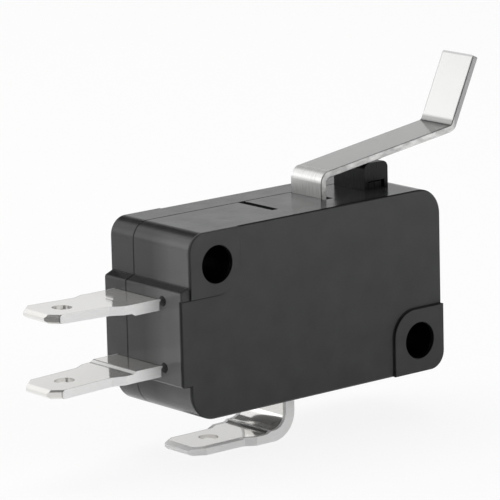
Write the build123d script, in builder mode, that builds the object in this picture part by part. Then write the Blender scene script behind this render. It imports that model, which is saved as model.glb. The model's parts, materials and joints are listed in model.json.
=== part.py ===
from build123d import *
import os
from math import acos, asin, atan2, cos, degrees, hypot, radians, sin, tan

# Position switch with a hinged lever. Millimetres. The origin is the axis of the lower mounting hole, midway
# through the housing. X runs to the right, away from the end tabs, Y runs to the back and Z runs up.

# Housing
hole_pitch_x = 22.2
hole_pitch_z = 10.3
hole_edge = 2.8            # from a mounting hole's axis to the two sides nearest to it
hole_diameter = 3.2
body_depth = 10.6
case_depth = 7.55          # from the front pads to the parting line between case and cover
wall = 1.25
front_wall = 1.3
back_wall = 1.1
pad_height = 0.25
back_pad_height = 0.15
pad_chamfer = 0.05
upper_pad_reach = 2.45     # from the upper hole's axis to the inner sides of its pad and boss
upper_pad_drop = 2.62      # from the upper hole's axis down to the lower sides of its pad and boss
lower_pad_reach = 2.8
pad_corner = 2.3
tight_corner = 1.5
wide_corner = 2.4
edge_chamfer = 0.15
back_chamfer = 0.08
seam_chamfer = 0.07
spigot_diameter = 4.2
spigot_length = 1.0
terminal_seat = 3.4        # depth of the thick end wall that holds the two end terminals
end_block_reach = 0.91
end_block_slope = 0.37
end_block_above = 0.92     # from the upper terminal to the front corner of the block's sloped ledge
end_block_below = 0.55
block_corner = 0.25
fit = 0.03                 # clearance on each side of a piece that is held still
play = 0.03                # gap between two pieces that press on each other
side_play = 0.05           # clearance on each side of a piece that slides or turns

# Terminals
terminal_depth = 6.1       # from the front pads to the middle of the three terminals and of the mechanism
root_width = 5.9
blade_width = 4.8
root_thickness = 0.95
blade_thickness = 0.75
tab_reach = 11.6           # from the housing's end to the tip of each end tab
tab_splay = 1.8            # each end tab leans away from the other
shoulder_reach = 5.66      # from the housing's end to the narrow side of the shoulders
shoulder_length = 1.08
step_reach = 3.75          # from the housing's end to the thin side of the step
step_length = 0.3
tip_corner = 1.0
bevel_width = 0.34
bevel_depth = 0.26
corner_bevel = 0.15        # on the two cut corners of each tip
step_rounding = 0.25       # at both turns of the step
burr_chamfer = 0.1         # along the lower edges of the common terminal's tab
roll_over_width = 0.3      # slope that the punch leaves along that tab's upper edges
roll_over_depth = 0.13
tab_hole_diameter = 1.7
tab_hole_from_tip = 2.9
terminal_under_boss = 0.23
lower_tab_rise = 0.85      # from the lower hole's axis to the lower face of the lower end tab
pocket_radius = 0.45       # tapered pocket in the end wall, beside each end terminal
pocket_drop = 0.08         # from the terminal's upper face down to the pocket's axis
pocket_depth = 0.9
pocket_taper = 12
tongue_width = 4.0
tongue_past_contact = 2.0
tongue_corner = 0.9

# Common terminal
post_x = -12.1
post_thickness = 0.95
common_drop = 3.2          # from the underside of the housing to the upper face of the blade
common_reach = 9.6         # from the post's near face to the tip
common_shoulder = 4.1      # from the post's near face to the narrow side of the shoulders
common_shoulder_length = 0.85
common_step = 1.75
common_corner_length = 1.3
common_corner_width = 0.8
common_hole_from_tip = 3.45
bend_radius = 1.4
post_top = 1.3             # height of the post above the seat of the inner lever
spring_window = 2.8
post_foot = 2.6            # from the arm's seat down to the foot of the spring window
post_support = 1.8

# Contacts and the arm
contact_inset = 5.6        # from the housing's end to the contacts' axis
contact_diameter = 3.0
contact_gap = 0.8
contact_shank = 1.5
moving_contact_height = 2.0
contact_dome = 4.0
strip_thickness = 0.5
strip_width = 4.6
arm_end_width = 3.4
seat_depth = 0.25
seat_half_angle = 60
edge_half_angle = 30
arm_hook = 3.9             # from the arm's seat to the bar that carries the spring
hook_bar = 0.6
hook_slot = 0.75
hook_slot_width = 0.7
fork_opening = 2.9

# Inner lever
seat_rise = 1.75           # from the arm's seat up to the inner lever's seat
trip_tilt = 9.0
trip_overhang = 1.3        # past the plunger's axis
trip_fork = 4.6
spring_tab = 6.7           # from the inner lever's seat to its hanging tab
spring_tab_width = 1.6
spring_tab_drop = 2.3      # from the seat's line, along the tab, to the bar that the spring hangs on

# Spring
wire = 0.3
coil_diameter = 2.0
coil_pitch = 1.2           # stretched by the pull between the two bars
loop_inner_radius = 0.55

# Plunger
plunger_x = -1.62
plunger_width = 2.66
plunger_depth = 4.0
plunger_top_radius = 0.6
flange_width = 3.95
flange_height = 1.2
stem_width = 2.2
nose_radius = 1.0
recess_width = 1.9
recess_rise = 0.7          # height of the front recess above the housing
recess_depth = 0.4
recess_length = 2.0
nib_gap = 0.15             # around the nib that stands in the recess
nib_height = 0.28

# Lever
lever_x = -7.55
lever_width = 4.05
lever_thickness = 0.6
lever_rise = 1.9           # from the housing's top to where the lever's leg and arm meet
lever_tilt = 8.0
arm_length = 15.04
tip_tilt = 65.0
tip_length = 6.6
leg_bend = 0.7
tip_bend = 0.6
foot_bend = 0.45
foot_reach = 1.45
foot_play = 0.12
pivot_depth = 0.8
lever_travel = 18.0
tip_rounding = 0.3         # of the two corners at the strip's end
strip_chamfer = 0.08       # along the strip's edges
slot_pitch = 5.8
slot_room = 0.45
spare_slot_width = 0.72

# Places worked out from the sizes above
left_x = -hole_pitch_x - hole_edge
right_x = hole_edge
bottom_z = -hole_edge
top_z = hole_pitch_z + hole_edge
ceiling_z = top_z - wall
pad_y = -body_depth / 2
front_y = pad_y + pad_height
back_pad_y = body_depth / 2
back_y = back_pad_y - back_pad_height
parting_y = pad_y + case_depth
cover_floor_y = back_pad_y - back_wall
terminal_y = pad_y + terminal_depth
boss_right = -hole_pitch_x + upper_pad_reach
boss_low = hole_pitch_z - upper_pad_drop

nc_top = boss_low - terminal_under_boss
nc_low = nc_top - root_thickness
no_low = lower_tab_rise
no_top = no_low + root_thickness
contact_x = left_x + contact_inset
contact_height = (nc_low - no_top - contact_gap - moving_contact_height) / 2
seat_z = (nc_low + no_top) / 2
post_left = post_x - post_thickness / 2
post_right = post_x + post_thickness / 2
arm_seat_x = post_left + seat_depth - play
trip_seat_x = post_right - seat_depth + play
trip_seat_z = seat_z + seat_rise
horn_top = trip_seat_z + post_top
arm_reach = arm_seat_x - contact_x
arm_tilt = degrees(asin((contact_gap / 2 - play) / arm_reach))

lever_back_y = parting_y - side_play
lever_y = lever_back_y - lever_width / 2
slot_front_y = lever_back_y - lever_width - slot_room
plunger_y = parting_y - side_play - plunger_depth / 2
pivot_z = top_z - pivot_depth
knee_z = top_z + lever_rise

# The plunger's crown touches the underside of the lever, and its nose touches the inner lever
crown_center_x = plunger_x - plunger_width / 2 + plunger_top_radius
crown_offset = lever_thickness / 2 + play + plunger_top_radius
crown_center_z = (knee_z + (crown_center_x - lever_x) * tan(radians(lever_tilt))
                  - crown_offset / cos(radians(lever_tilt)))
crown_z = crown_center_z + plunger_top_radius
nose_center_x = plunger_x + stem_width / 2 - nose_radius
nose_offset = strip_thickness / 2 + play + nose_radius
nose_center_z = (trip_seat_z + (nose_center_x - trip_seat_x) * tan(radians(trip_tilt))
                 + nose_offset / cos(radians(trip_tilt)))
nose_z = nose_center_z - nose_radius

# The spring's loops pull on the arm's bar and on the bar at the end of the inner lever's tab
loop_room = loop_inner_radius - play
left_hook = arm_hook - (loop_room ** 2 - (strip_thickness / 2) ** 2) ** 0.5 + hook_bar / 2
right_hook = spring_tab - (loop_room ** 2 - (hook_bar / 2) ** 2) ** 0.5 + strip_thickness / 2
spring_left_x = arm_seat_x - left_hook * cos(radians(arm_tilt))
spring_left_z = seat_z + left_hook * sin(radians(arm_tilt))
trip_cos = cos(radians(trip_tilt))
trip_sin = sin(radians(trip_tilt))
spring_right_x = trip_seat_x + right_hook * trip_cos + spring_tab_drop * trip_sin
spring_right_z = trip_seat_z + right_hook * trip_sin - spring_tab_drop * trip_cos
spring_run = hypot(spring_right_x - spring_left_x, spring_right_z - spring_left_z)
spring_tilt = degrees(atan2(spring_right_z - spring_left_z, spring_right_x - spring_left_x))


def upright(y):
    """Plane of a side profile at depth y: its x runs right and its y runs up. Extrusions run to the front."""
    return Plane.XZ.offset(-y)


def tilted_profile(x, z, y, tilt):
    """Side plane at depth y with its origin at a seat and its x turned up by the tilt."""
    turn = radians(tilt)
    return Plane(origin=(x, y, z), x_dir=(cos(turn), 0, sin(turn)), z_dir=(0, -1, 0))


def tilted_plan(x, z, tilt):
    """Plan of a flat strip that leaves a seat at the tilt, centred on the terminals' line."""
    turn = radians(tilt)
    return Plane(origin=(x, terminal_y, z), x_dir=(cos(turn), 0, sin(turn)), z_dir=(-sin(turn), 0, cos(turn)))


def draw_block(left, right, low, high, mode=Mode.ADD):
    """Rectangle between four limits."""
    with Locations(((left + right) / 2, (low + high) / 2)):
        Rectangle(right - left, high - low, mode=mode)


def draw_housing():
    """Outline shared by case and cover: four rounded corners and the raised block with its sloped ledge."""
    block_x = left_x - end_block_reach
    with BuildLine() as outline:
        FilletPolyline(
            (right_x, bottom_z),
            (right_x, top_z),
            (left_x, top_z),
            (left_x, nc_top + end_block_above + end_block_slope),
            (block_x, nc_top + end_block_above),
            (block_x, no_low - end_block_below),
            (left_x, no_low - end_block_below),
            (left_x, bottom_z),
            radius=[tight_corner, wide_corner, tight_corner, 0, block_corner, block_corner, 0, wide_corner],
            close=True,
        )
    make_face(outline.edges())


def draw_pads():
    """Raised pads around the two mounting holes, flush with the housing's outline."""
    with BuildLine() as outline:
        FilletPolyline(
            (left_x, top_z),
            (boss_right, top_z),
            (boss_right, boss_low),
            (left_x, boss_low),
            radius=[tight_corner, 0, pad_corner, 0],
            close=True,
        )
    make_face(outline.edges())
    with BuildLine() as outline:
        FilletPolyline(
            (right_x, bottom_z),
            (-lower_pad_reach, bottom_z),
            (-lower_pad_reach, lower_pad_reach),
            (right_x, lower_pad_reach),
            radius=[tight_corner, 0, pad_corner, 0],
            close=True,
        )
    make_face(outline.edges())


def draw_cavity():
    """Inside of the housing, clear of the two bosses, the thick end wall and the plunger's guide."""
    guide_x = plunger_x + flange_width / 2 + side_play
    guide_z = ceiling_z - 3.4 * flange_height
    with BuildLine() as outline:
        FilletPolyline(
            (left_x + terminal_seat, bottom_z + wall),
            (-lower_pad_reach, bottom_z + wall),
            (-lower_pad_reach, lower_pad_reach),
            (right_x - wall, lower_pad_reach),
            (right_x - wall, guide_z),
            (guide_x, guide_z),
            (guide_x, ceiling_z),
            (boss_right, ceiling_z),
            (boss_right, boss_low),
            (left_x + terminal_seat, boss_low),
            radius=[0.4, 0.4, 0.4, 0.4, 0.4, 0.2, 0, 0.4, 0.4, 0],
            close=True,
        )
    make_face(outline.edges())


def draw_post_support():
    """Raised seat around the common terminal, on the housing's floor."""
    draw_block(post_left - wall, post_right + wall, bottom_z + wall / 2, bottom_z + wall + post_support)


def draw_terminal_slots():
    """Slots for the two end terminals and, over the whole height of its post, for the common terminal."""
    block_x = left_x - 2 * end_block_reach
    draw_block(block_x, left_x + terminal_seat + wall, nc_low - fit, nc_top + fit)
    draw_block(block_x, left_x + terminal_seat + wall, no_low - fit, no_top + fit)
    draw_block(post_left - fit, post_right + fit, bottom_z - wall, horn_top + fit)


def draw_lever_slot():
    """Slot that the lever's leg rocks in: open to the right above the hinge and to the left below it."""
    swing = tan(radians(lever_travel))
    above = pivot_depth + wall
    below = wall - pivot_depth + edge_chamfer
    half = (lever_thickness / 2 + side_play) / cos(radians(lever_travel))
    with BuildLine() as outline:
        Polyline(
            (lever_x - half, pivot_z + above),
            (lever_x + half + above * swing, pivot_z + above),
            (lever_x + half, pivot_z),
            (lever_x + half, pivot_z - below),
            (lever_x - half - below * swing, pivot_z - below),
            (lever_x - half, pivot_z),
            close=True,
        )
    make_face(outline.edges())
    spare_x = lever_x - slot_pitch
    draw_block(spare_x - spare_slot_width / 2, spare_x + spare_slot_width / 2, ceiling_z - wall, top_z + wall)


def hole_places(y, normal):
    """Planes on the two mounting holes' axes, at depth y."""
    centres = ((0, 0), (-hole_pitch_x, hole_pitch_z))
    return [Plane(origin=(x, y, z), x_dir=(1, 0, 0), z_dir=normal) for x, z in centres]


def draw_blade(tip_x, narrow_x, wide_x, root_x, corner_length, corner_width):
    """Plan of a tab that points left: cut corners at its tip, then shoulders out to the full width."""
    with BuildLine() as outline:
        Polyline(
            (root_x, root_width / 2),
            (wide_x, root_width / 2),
            (narrow_x, blade_width / 2),
            (tip_x + corner_length, blade_width / 2),
            (tip_x, blade_width / 2 - corner_width),
            (tip_x, corner_width - blade_width / 2),
            (tip_x + corner_length, -blade_width / 2),
            (narrow_x, -blade_width / 2),
            (wide_x, -root_width / 2),
            (root_x, -root_width / 2),
            close=True,
        )
    make_face(outline.edges())


def bevel_tip(part):
    """Slanted lead-in across the tip of a tab and its two cut corners, on both faces."""
    tip = part.faces().sort_by(Axis.X)[0]
    chamfer(tip.edges().filter_by(Axis.Y), length=bevel_depth, length2=bevel_width, reference=tip)
    for side in (1, -1):
        cut_faces = part.faces().filter_by(lambda face: 0.2 < side * face.normal_at().Y < 0.95)
        corner = cut_faces.sort_by(Axis.X)[0]
        rim = corner.edges().filter_by(lambda edge: abs((edge % 0).Z) < 0.1)
        chamfer(rim, corner_bevel)


def pads_block(inner_y, outer_y):
    """Both pads between two depths, with the edges of their outer faces chamfered."""
    with BuildPart() as pads:
        with BuildSketch(upright(outer_y)):
            draw_pads()
        extrude(amount=outer_y - inner_y)
        outer_faces = pads.faces().filter_by(Axis.Y).group_by(Axis.Y)[0 if outer_y < inner_y else -1]
        chamfer(outer_faces.edges(), pad_chamfer)
    return pads.part


front_pads = pads_block(front_y + front_wall / 2, pad_y)
back_pads = pads_block(back_y - back_wall / 2, back_pad_y)

# Case: the deep front half of the housing
with BuildPart() as case:
    with BuildSketch(upright(parting_y)):
        draw_housing()
    extrude(amount=parting_y - front_y)
    ends = case.faces().filter_by(Axis.Y).sort_by(Axis.Y)
    chamfer(ends[0].edges(), edge_chamfer)
    chamfer(ends[-1].edges(), seam_chamfer)
    add(front_pads)
    with BuildSketch(upright(parting_y)):
        draw_cavity()
    extrude(amount=parting_y - front_y - front_wall, mode=Mode.SUBTRACT)
    with BuildSketch(upright(parting_y)):
        draw_post_support()
    extrude(amount=parting_y - front_y - front_wall / 2)
    with BuildSketch(upright(parting_y)):
        draw_terminal_slots()
    extrude(amount=parting_y - terminal_y + root_width / 2 + fit, mode=Mode.SUBTRACT)
    with BuildSketch(Plane(origin=(left_x - end_block_reach, 0, 0), x_dir=(0, -1, 0), z_dir=(-1, 0, 0))):
        pocket_y = root_width / 2 + pocket_radius - terminal_y
        with Locations((pocket_y, nc_top - pocket_drop), (pocket_y, no_top - pocket_drop)):
            Circle(pocket_radius)
    extrude(amount=-pocket_depth, taper=pocket_taper, mode=Mode.SUBTRACT)
    with BuildSketch(upright(parting_y)):
        draw_lever_slot()
    extrude(amount=parting_y - slot_front_y, mode=Mode.SUBTRACT)
    with BuildSketch(upright(parting_y)):
        plunger_room = plunger_width / 2 + side_play
        draw_block(plunger_x - plunger_room, plunger_x + plunger_room, ceiling_z - wall, top_z + wall)
    extrude(amount=plunger_depth + 2 * side_play, mode=Mode.SUBTRACT)
    with Locations(*hole_places(parting_y, (0, 1, 0))):
        CounterBoreHole(hole_diameter / 2, spigot_diameter / 2 + fit, spigot_length + fit)
case.part.label = "case"

# Cover: the shallow back half, with spigots that enter the case around the mounting holes
with BuildPart() as cover:
    with BuildSketch(upright(back_y)):
        draw_housing()
    extrude(amount=back_y - parting_y)
    ends = cover.faces().filter_by(Axis.Y).sort_by(Axis.Y)
    chamfer(ends[-1].edges(), back_chamfer)
    chamfer(ends[0].edges(), seam_chamfer)
    add(back_pads)
    with BuildSketch(upright(cover_floor_y)):
        draw_cavity()
    extrude(amount=cover_floor_y - parting_y, mode=Mode.SUBTRACT)
    with BuildSketch(upright(cover_floor_y + back_wall / 2)):
        draw_post_support()
    extrude(amount=cover_floor_y + back_wall / 2 - parting_y)
    with BuildSketch(upright(terminal_y + root_width / 2 + fit)):
        draw_terminal_slots()
    extrude(amount=terminal_y + root_width / 2 + fit - parting_y, mode=Mode.SUBTRACT)
    for place in hole_places(parting_y, (0, -1, 0)):
        with BuildSketch(place):
            Circle(spigot_diameter / 2)
        extrude(amount=spigot_length)
    with Locations(*hole_places(back_pad_y, (0, 1, 0))):
        Hole(hole_diameter / 2)
cover.part.label = "cover"

# Upper end terminal: one strip, stepped down to the thin tab
tab_tip_x = left_x - tab_reach
tab_narrow_x = left_x - shoulder_reach
step_x = left_x - step_reach
tongue_x = contact_x + tongue_past_contact
seat_end_x = left_x + terminal_seat
lift = (tab_reach - step_reach) * tan(radians(tab_splay))
terminal_middle = Plane((0, 0, seat_z))

with BuildPart() as nc_terminal:
    with BuildSketch(upright(terminal_y + root_width / 2)):
        with BuildLine():
            FilletPolyline(
                (tongue_x, nc_low),
                (tongue_x, nc_top),
                (step_x, nc_top),
                (tab_tip_x, nc_top + lift),
                (tab_tip_x, nc_top + lift - blade_thickness),
                (step_x, nc_top - blade_thickness),
                (step_x + step_length, nc_low),
                radius=[0, 0, 0, 0, 0, step_rounding, step_rounding],
                close=True,
            )
        make_face()
    extrude(amount=root_width)
    with BuildSketch(Plane((0, terminal_y, nc_low - root_thickness))):
        tab_wide_x = tab_narrow_x + shoulder_length
        draw_blade(tab_tip_x, tab_narrow_x, tab_wide_x, seat_end_x, tip_corner, tip_corner)
        with BuildLine():
            FilletPolyline(
                (seat_end_x - tongue_corner, tongue_width / 2),
                (tongue_x, tongue_width / 2),
                (tongue_x, -tongue_width / 2),
                (seat_end_x - tongue_corner, -tongue_width / 2),
                radius=[0, tongue_corner, tongue_corner, 0],
                close=True,
            )
        make_face()
        with Locations((tab_tip_x + tab_hole_from_tip, 0)):
            Circle(tab_hole_diameter / 2, mode=Mode.SUBTRACT)
        with Locations((contact_x, 0)):
            Circle(contact_shank / 2, mode=Mode.SUBTRACT)
    extrude(amount=3 * root_thickness, mode=Mode.INTERSECT)
    bevel_tip(nc_terminal)
nc_terminal.part.label = "nc_terminal"

# Lower end terminal: the upper one turned over
with BuildPart() as no_terminal:
    mirror(nc_terminal.part, about=terminal_middle)
no_terminal.part.label = "no_terminal"

# Fixed contacts: a flat head towards the arm and a shank through the terminal
with BuildPart() as nc_contact:
    with BuildSketch(Plane((contact_x, terminal_y, nc_low - contact_height))):
        Circle(contact_diameter / 2)
    extrude(amount=contact_height)
    chamfer(nc_contact.edges().group_by(Axis.Z)[0], edge_chamfer)
    with BuildSketch(Plane((contact_x, terminal_y, nc_low))):
        Circle(contact_shank / 2 - fit / 2)
    extrude(amount=root_thickness)
nc_contact.part.label = "nc_contact"

with BuildPart() as no_contact:
    mirror(nc_contact.part, about=terminal_middle)
no_contact.part.label = "no_contact"

# Common terminal: a post with two knife-edge seats, bent under the housing into a tab
common_top = bottom_z - common_drop
common_tip_x = post_left - common_reach
common_narrow_x = post_left - common_shoulder
common_wide_x = common_narrow_x + common_shoulder_length

with BuildPart() as common_terminal:
    with BuildLine(upright(terminal_y)) as run:
        FilletPolyline(
            (post_x, horn_top),
            (post_x, common_top - post_thickness / 2),
            (common_tip_x, common_top - post_thickness / 2),
            radius=bend_radius + post_thickness / 2,
        )
    with BuildSketch(Plane(origin=run.line @ 0, x_dir=(0, 1, 0), z_dir=run.line % 0)):
        Rectangle(root_width, post_thickness)
    sweep()
    with BuildSketch(Plane((0, terminal_y, common_top - post_thickness))):
        corner = (common_corner_length, common_corner_width)
        draw_blade(common_tip_x, common_narrow_x, common_wide_x, post_right, *corner)
        with Locations((common_tip_x + common_hole_from_tip, 0)):
            Circle(tab_hole_diameter / 2, mode=Mode.SUBTRACT)
    extrude(amount=horn_top - common_top + post_thickness, mode=Mode.INTERSECT)
    with BuildSketch(upright(terminal_y + root_width / 2)):
        ramp_x = post_left - common_step
        thin_top = common_top - post_thickness + blade_thickness
        with BuildLine():
            FilletPolyline(
                (ramp_x, common_top),
                (ramp_x - step_length, thin_top),
                (common_tip_x - wall, thin_top),
                (common_tip_x - wall, common_top + fit),
                (ramp_x, common_top + fit),
                radius=[0, step_rounding, 0, 0, 0],
                close=True,
            )
        make_face()
    extrude(amount=root_width, mode=Mode.SUBTRACT)
    bevel_tip(common_terminal)
    levels = common_terminal.faces().filter_by(Axis.Z).filter_by(lambda face: face.center().X < common_wide_x)
    upper, lower = levels.sort_by(Axis.Z)[-1], levels.sort_by(Axis.Z)[0]
    upper_rim = upper.edges().filter_by(Axis.X).filter_by(lambda edge: edge.center().X < common_narrow_x)
    lower_rim = lower.edges().filter_by(Axis.X).filter_by(lambda edge: edge.center().X < common_narrow_x)
    chamfer(upper_rim, length=roll_over_width, length2=roll_over_depth, reference=upper)
    chamfer(lower_rim, burr_chamfer)
    with BuildSketch(Plane((post_x, terminal_y, seat_z - post_foot))):
        Rectangle(2 * post_thickness, spring_window)
    extrude(amount=2 * post_foot + horn_top, mode=Mode.SUBTRACT)
    with BuildSketch(upright(terminal_y + root_width / 2)):
        spread = seat_depth * tan(radians(seat_half_angle))
        with BuildLine():
            Polyline(
                (post_left, seat_z + spread),
                (post_left + seat_depth, seat_z),
                (post_left, seat_z - spread),
                close=True,
            )
        make_face()
        with BuildLine():
            Polyline(
                (post_right, trip_seat_z + spread),
                (post_right - seat_depth, trip_seat_z),
                (post_right, trip_seat_z - spread),
                close=True,
            )
        make_face()
    extrude(amount=root_width, mode=Mode.SUBTRACT)
common_terminal.part.label = "common_terminal"


# Contact arm: a stamped strip with a fork around the spring and a knife edge at the post
knife_run = strip_thickness / 2 / tan(radians(edge_half_angle))
arm_end = arm_reach / cos(radians(arm_tilt)) + contact_diameter / 2 + 0.3
with BuildPart() as contact_arm:
    with BuildSketch(tilted_profile(arm_seat_x, seat_z, terminal_y + strip_width / 2, -arm_tilt)):
        with BuildLine():
            Polyline(
                (0, 0),
                (-knife_run, strip_thickness / 2),
                (-arm_end, strip_thickness / 2),
                (-arm_end, -strip_thickness / 2),
                (-knife_run, -strip_thickness / 2),
                close=True,
            )
        make_face()
    extrude(amount=strip_width)
    with BuildSketch(tilted_plan(arm_seat_x, seat_z, -arm_tilt)):
        neck = arm_hook + hook_bar + hook_slot
        with BuildLine():
            FilletPolyline(
                (0, strip_width / 2),
                (-neck, strip_width / 2),
                (-neck - 0.8, arm_end_width / 2),
                (-arm_end, arm_end_width / 2),
                (-arm_end, -arm_end_width / 2),
                (-neck - 0.8, -arm_end_width / 2),
                (-neck, -strip_width / 2),
                (0, -strip_width / 2),
                radius=[0, 0.3, 0.3, 1.2, 1.2, 0.3, 0.3, 0],
                close=True,
            )
        make_face()
        draw_block(hook_bar / 2 - arm_hook, 1, -fork_opening / 2, fork_opening / 2, mode=Mode.SUBTRACT)
        slot_right = -arm_hook - hook_bar / 2
        slot_half = hook_slot_width / 2
        draw_block(slot_right - hook_slot, slot_right, -slot_half, slot_half, mode=Mode.SUBTRACT)
        with Locations((-arm_reach / cos(radians(arm_tilt)), 0)):
            Circle(contact_shank / 2, mode=Mode.SUBTRACT)
    extrude(amount=strip_thickness, both=True, mode=Mode.INTERSECT)
contact_arm.part.label = "contact_arm"

# Moving contact: a rivet with a domed head on each side of the arm
with BuildPart() as moving_contact:
    axis_plane = tilted_profile(arm_seat_x, seat_z, terminal_y, -arm_tilt)
    contact_place = Plane(
        origin=axis_plane.from_local_coords(Vector(-arm_reach / cos(radians(arm_tilt)), 0, 0)),
        x_dir=axis_plane.x_dir,
        z_dir=(0, -1, 0),
    )
    with BuildSketch(contact_place):
        head = contact_diameter / 2
        top = moving_contact_height / 2
        rim = top - contact_dome + (contact_dome ** 2 - head ** 2) ** 0.5
        with BuildLine():
            Line((0, -top), (0, top))
            RadiusArc((0, top), (head, rim), contact_dome)
            Polyline(
                (head, rim),
                (head, strip_thickness / 2),
                (contact_shank / 2 - fit / 2, strip_thickness / 2),
                (contact_shank / 2 - fit / 2, -strip_thickness / 2),
                (head, -strip_thickness / 2),
                (head, -rim),
            )
            RadiusArc((head, -rim), (0, -top), contact_dome)
        make_face()
    revolve(axis=Axis(contact_place.origin, contact_place.y_dir))
moving_contact.part.label = "moving_contact"

# Inner lever: a strip from the post to under the plunger, with a hanging tab for the spring
trip_length = (plunger_x + trip_overhang - trip_seat_x) / cos(radians(trip_tilt))
with BuildPart() as trip_lever:
    with BuildSketch(tilted_profile(trip_seat_x, trip_seat_z, terminal_y + strip_width / 2, trip_tilt)):
        with BuildLine():
            Polyline(
                (0, 0),
                (knife_run, strip_thickness / 2),
                (trip_length, strip_thickness / 2),
                (trip_length, -strip_thickness / 2),
                (knife_run, -strip_thickness / 2),
                close=True,
            )
        make_face()
    extrude(amount=strip_width)
    with BuildSketch(tilted_plan(trip_seat_x, trip_seat_z, trip_tilt)):
        with BuildLine():
            FilletPolyline(
                (0, strip_width / 2),
                (trip_length, strip_width / 2),
                (trip_length, -strip_width / 2),
                (0, -strip_width / 2),
                radius=[0, 1.0, 1.0, 0],
                close=True,
            )
        make_face()
        draw_block(-1, trip_fork, -fork_opening / 2, fork_opening / 2, mode=Mode.SUBTRACT)
    extrude(amount=strip_thickness, both=True, mode=Mode.INTERSECT)
    with BuildSketch(tilted_plan(trip_seat_x, trip_seat_z, trip_tilt)):
        draw_block(spring_tab - strip_thickness / 2, spring_tab + strip_thickness / 2,
                   -spring_tab_width / 2, spring_tab_width / 2)
    extrude(amount=-spring_tab_drop - hook_bar / 2)
    with BuildSketch(tilted_profile(trip_seat_x, trip_seat_z, terminal_y + hook_slot_width / 2, trip_tilt)):
        draw_block(spring_tab - strip_thickness, spring_tab + strip_thickness,
                   hook_bar / 2 - spring_tab_drop, hook_bar / 2 - spring_tab_drop + hook_slot)
    extrude(amount=hook_slot_width, mode=Mode.SUBTRACT)
trip_lever.part.label = "trip_lever"

# Plunger: rounded crown, shoulder under the housing's top, stem and nose
flange_top = ceiling_z - side_play
with BuildPart() as plunger:
    with BuildSketch(upright(plunger_y + plunger_depth / 2)):
        with BuildLine():
            FilletPolyline(
                (plunger_x + plunger_width / 2, flange_top - flange_height / 2),
                (plunger_x + plunger_width / 2, crown_z),
                (plunger_x - plunger_width / 2, crown_z),
                (plunger_x - plunger_width / 2, flange_top - flange_height / 2),
                radius=[0, plunger_top_radius, plunger_top_radius, 0],
                close=True,
            )
        make_face()
        flange_half = flange_width / 2
        draw_block(plunger_x - flange_half, plunger_x + flange_half, flange_top - flange_height, flange_top)
        with BuildLine():
            FilletPolyline(
                (plunger_x - stem_width / 2, flange_top - flange_height / 2),
                (plunger_x - stem_width / 2, nose_z),
                (plunger_x + stem_width / 2, nose_z),
                (plunger_x + stem_width / 2, flange_top - flange_height / 2),
                radius=[0, nose_radius, nose_radius, 0],
                close=True,
            )
        make_face()
    extrude(amount=plunger_depth)
    with BuildSketch(upright(plunger_y - plunger_depth / 2 + recess_depth)):
        recess_left = plunger_x - recess_width / 2
        recess_top = top_z + recess_rise
        draw_block(recess_left, recess_left + recess_width, recess_top - recess_length, recess_top)
    extrude(amount=recess_depth, mode=Mode.SUBTRACT)
    with BuildSketch(upright(plunger_y - plunger_depth / 2 + recess_depth)):
        nib_right = recess_left + recess_width - 2 * nib_gap
        draw_block(recess_left + nib_gap, nib_right, recess_top - recess_length, recess_top - nib_gap)
    extrude(amount=nib_height)
plunger.part.label = "plunger"

# Lever: one folded strip, with its hooked foot under the housing's top
with BuildPart() as lever:
    foot_z = ceiling_z - foot_play - lever_thickness / 2
    bend_x = lever_x + arm_length * cos(radians(lever_tilt))
    bend_z = knee_z + arm_length * sin(radians(lever_tilt))
    with BuildLine(upright(lever_y)) as fold:
        FilletPolyline(
            (lever_x + foot_reach, foot_z),
            (lever_x, foot_z),
            (lever_x, knee_z),
            (bend_x, bend_z),
            (bend_x + tip_length * cos(radians(tip_tilt)), bend_z + tip_length * sin(radians(tip_tilt))),
            radius=[foot_bend, leg_bend, tip_bend],
        )
    with BuildSketch(Plane(origin=fold.line @ 0, x_dir=(0, 1, 0), z_dir=fold.line % 0)):
        section = Rectangle(lever_width, lever_thickness)
        chamfer(section.vertices(), strip_chamfer)
    sweep()
    across_tip = (-sin(radians(tip_tilt)), 0, cos(radians(tip_tilt)))
    with BuildSketch(Plane(origin=fold.line @ 1, x_dir=(0, -1, 0), z_dir=across_tip)):
        Rectangle(2 * lever_width, 2 * tip_rounding)
        with Locations((0, -tip_length / 2)):
            RectangleRounded(lever_width, tip_length, tip_rounding, mode=Mode.SUBTRACT)
    extrude(amount=lever_thickness, both=True, mode=Mode.SUBTRACT)
lever.part.label = "lever"

# Spring: coils between two loops, one around the arm's bar and one around the bar of the inner lever
coil_radius = (coil_diameter - wire) / 2
loop_radius = loop_inner_radius + wire / 2
coil_start = loop_radius + 1.5 * wire
coil_run = spring_run - 2 * coil_start
coil_turns = round(coil_run / coil_pitch)
leg_start = coil_start + wire / 3
touch = atan2(coil_radius, leg_start) + acos(loop_radius / hypot(leg_start, coil_radius))
along = tilted_profile(spring_left_x, spring_left_z, terminal_y, spring_tilt)
right_end = Plane(origin=(spring_right_x, terminal_y, spring_right_z), x_dir=-along.x_dir, z_dir=(0, 1, 0))

with BuildPart() as snap_spring:
    for place in (along, right_end):
        with BuildLine(place) as loop:
            Line((leg_start, coil_radius), (loop_radius * cos(touch), loop_radius * sin(touch)))
            CenterArc((0, 0), loop_radius, degrees(touch), 285)
        with BuildSketch(Plane(origin=loop.wire() @ 0, z_dir=loop.wire() % 0)):
            RegularPolygon(wire / 2, 6)
        sweep(path=loop.wire())
    coil_foot = along.from_local_coords(Vector(coil_start, 0, 0))
    with BuildLine() as coil:
        Helix(coil_run / coil_turns, coil_run, coil_radius, center=coil_foot, direction=along.x_dir)
    with BuildSketch(Plane(origin=coil.line @ 0, z_dir=coil.line % 0)):
        RegularPolygon(wire / 2, 6)
    sweep(path=coil.line, is_frenet=True)
snap_spring.part.label = "snap_spring"

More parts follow.
